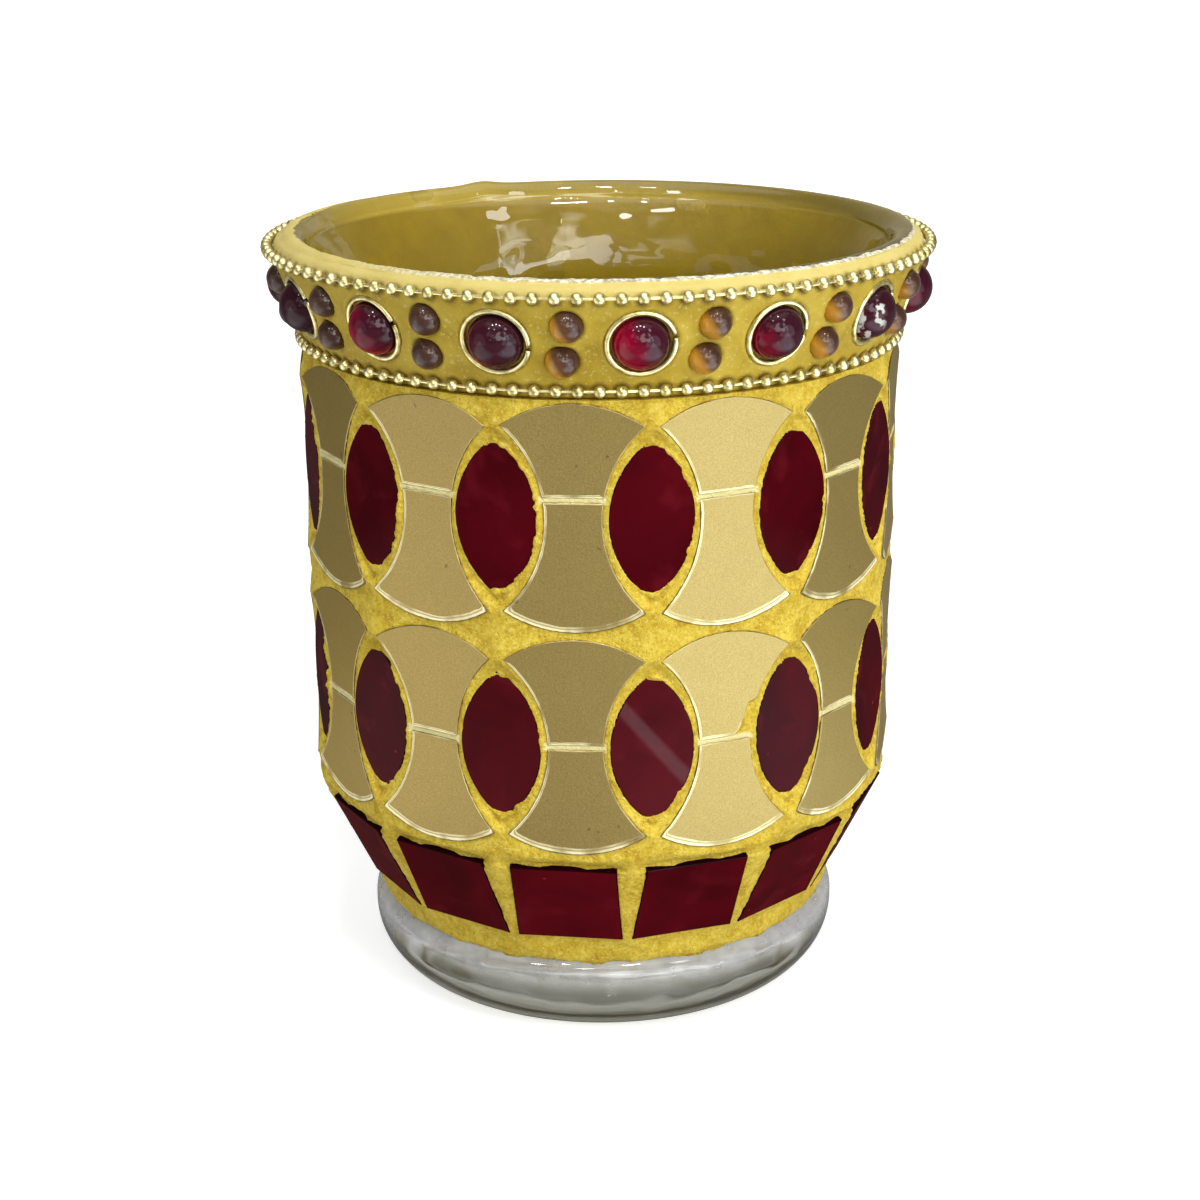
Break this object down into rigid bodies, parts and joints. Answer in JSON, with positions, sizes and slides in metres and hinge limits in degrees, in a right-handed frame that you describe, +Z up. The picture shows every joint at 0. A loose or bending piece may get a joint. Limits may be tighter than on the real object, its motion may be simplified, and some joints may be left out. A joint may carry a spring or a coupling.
{
  "type": "mosaic glass candle cup",
  "caption": "Footed clear-glass candle cup covered outside with gold and ruby glass mosaic in yellow grout, with a jewelled clay band under its lip.",
  "frame": {"origin": "middle of the foot's underside, on the table", "axes": "+Z up along the cup's axis; -Y is the side that the picture shows, +X to its right"},
  "size_m": [0.0854, 0.0854, 0.1],
  "materials": {
    "clear_glass": "polished pressed glass",
    "grout": "granular yellow grout",
    "clay": "smooth baked polymer clay",
    "brass": "bright pale brass",
    "gold_glass": "satin gold paint behind glass",
    "ruby_glass": "glossy backed ruby glass",
    "amber_glass": "glossy amber glass"
  },
  "bodies": {
    "root": {"glass_cup": "clear_glass", "grout": "grout", "clay_band": "clay", "upper_chain_beads": "brass", "upper_chain_links": "brass", "lower_chain_beads": "brass", "lower_chain_links": "brass", "amber_beads_upper": "amber_glass", "amber_beads_lower": "amber_glass", "ruby_lenses_lower": "ruby_glass", "ruby_lenses_upper": "ruby_glass", "gold_tiles_1": "gold_glass", "gold_tiles_2": "gold_glass", "gold_tiles_3": "gold_glass", "gold_tiles_4": "gold_glass", "cabochon_1": "ruby_glass", "cabochon_2": "ruby_glass", "cabochon_3": "ruby_glass", "cabochon_4": "ruby_glass", "cabochon_5": "ruby_glass", "cabochon_6": "ruby_glass", "cabochon_7": "ruby_glass", "cabochon_8": "ruby_glass", "cabochon_9": "ruby_glass", "cabochon_10": "ruby_glass", "cabochon_11": "ruby_glass", "cabochon_12": "ruby_glass", "cabochon_13": "ruby_glass", "cabochon_14": "ruby_glass", "cabochon_15": "ruby_glass", "cabochon_ring_1": "brass", "cabochon_ring_2": "brass", "cabochon_ring_3": "brass", "cabochon_ring_4": "brass", "cabochon_ring_5": "brass", "cabochon_ring_6": "brass", "cabochon_ring_7": "brass", "cabochon_ring_8": "brass", "cabochon_ring_9": "brass", "cabochon_ring_10": "brass", "cabochon_ring_11": "brass", "cabochon_ring_12": "brass", "cabochon_ring_13": "brass", "cabochon_ring_14": "brass", "cabochon_ring_15": "brass", "base_tile_1": "ruby_glass", "base_tile_2": "ruby_glass", "base_tile_3": "ruby_glass", "base_tile_4": "ruby_glass", "base_tile_5": "ruby_glass", "base_tile_6": "ruby_glass", "base_tile_7": "ruby_glass", "base_tile_8": "ruby_glass", "base_tile_9": "ruby_glass", "base_tile_10": "ruby_glass", "base_tile_11": "ruby_glass", "base_tile_12": "ruby_glass", "base_tile_13": "ruby_glass", "base_tile_14": "ruby_glass"}
  },
  "joints": []
}
